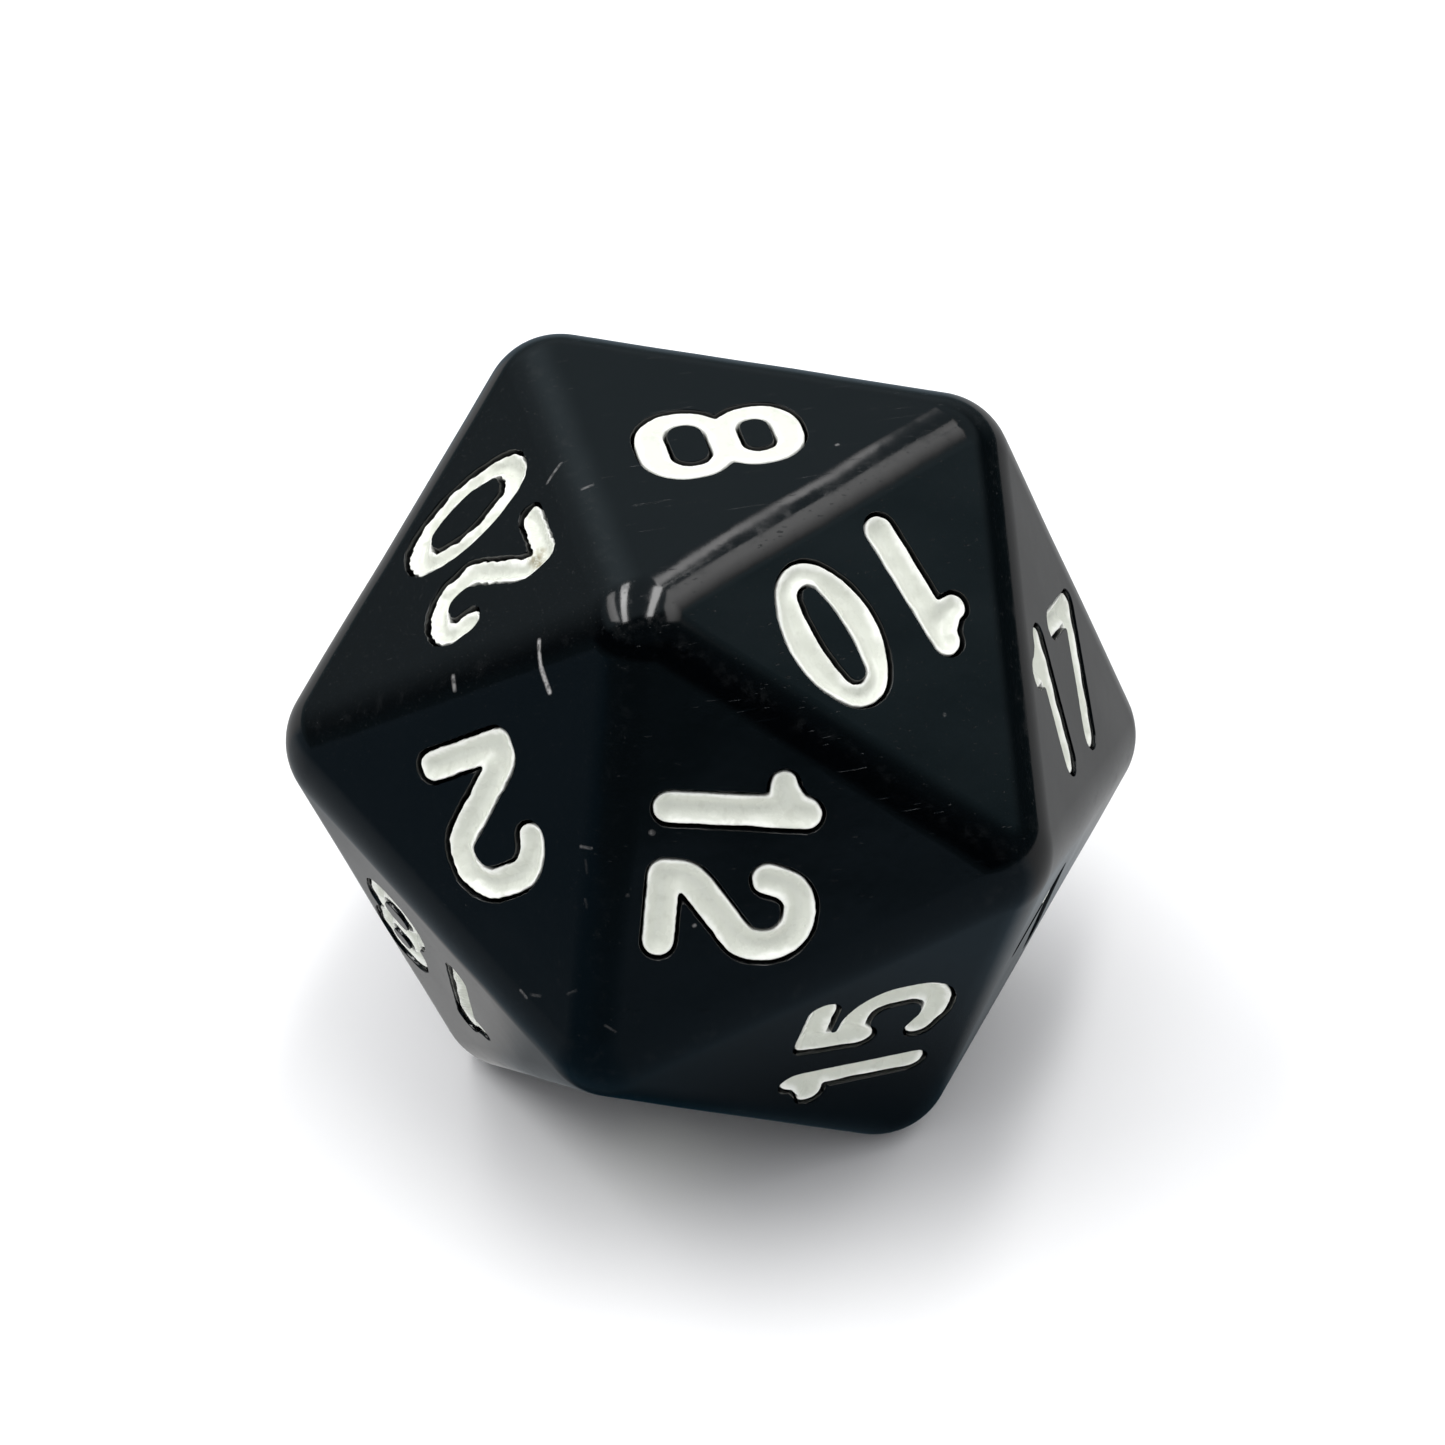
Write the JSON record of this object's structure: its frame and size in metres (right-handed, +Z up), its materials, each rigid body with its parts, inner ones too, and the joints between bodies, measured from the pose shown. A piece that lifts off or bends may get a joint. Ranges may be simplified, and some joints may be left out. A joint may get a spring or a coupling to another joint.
{
  "type": "polyhedral die",
  "caption": "Rounded regular icosahedron die with an engraved, paint-filled number on every face, resting flat on one face.",
  "frame": {"origin": "centre of the face that the die rests on (number 13)", "axes": "+Z up through the opposite face (number 8), +X towards the top of the 8, along the die's widest direction"},
  "size_m": [0.0238, 0.0212, 0.02],
  "materials": {
    "resin": "polished moulded black resin",
    "paint": "satin off-white fill paint"
  },
  "bodies": {
    "root": {"die_body": "resin", "number_01_paint": "paint", "number_02_paint": "paint", "number_03_paint": "paint", "number_04_paint": "paint", "number_05_paint": "paint", "number_06_paint": "paint", "number_07_paint": "paint", "number_08_paint": "paint", "number_09_paint": "paint", "number_10_paint": "paint", "number_11_paint": "paint", "number_12_paint": "paint", "number_13_paint": "paint", "number_14_paint": "paint", "number_15_paint": "paint", "number_16_paint": "paint", "number_17_paint": "paint", "number_18_paint": "paint", "number_19_paint": "paint", "number_20_paint": "paint"}
  },
  "joints": []
}
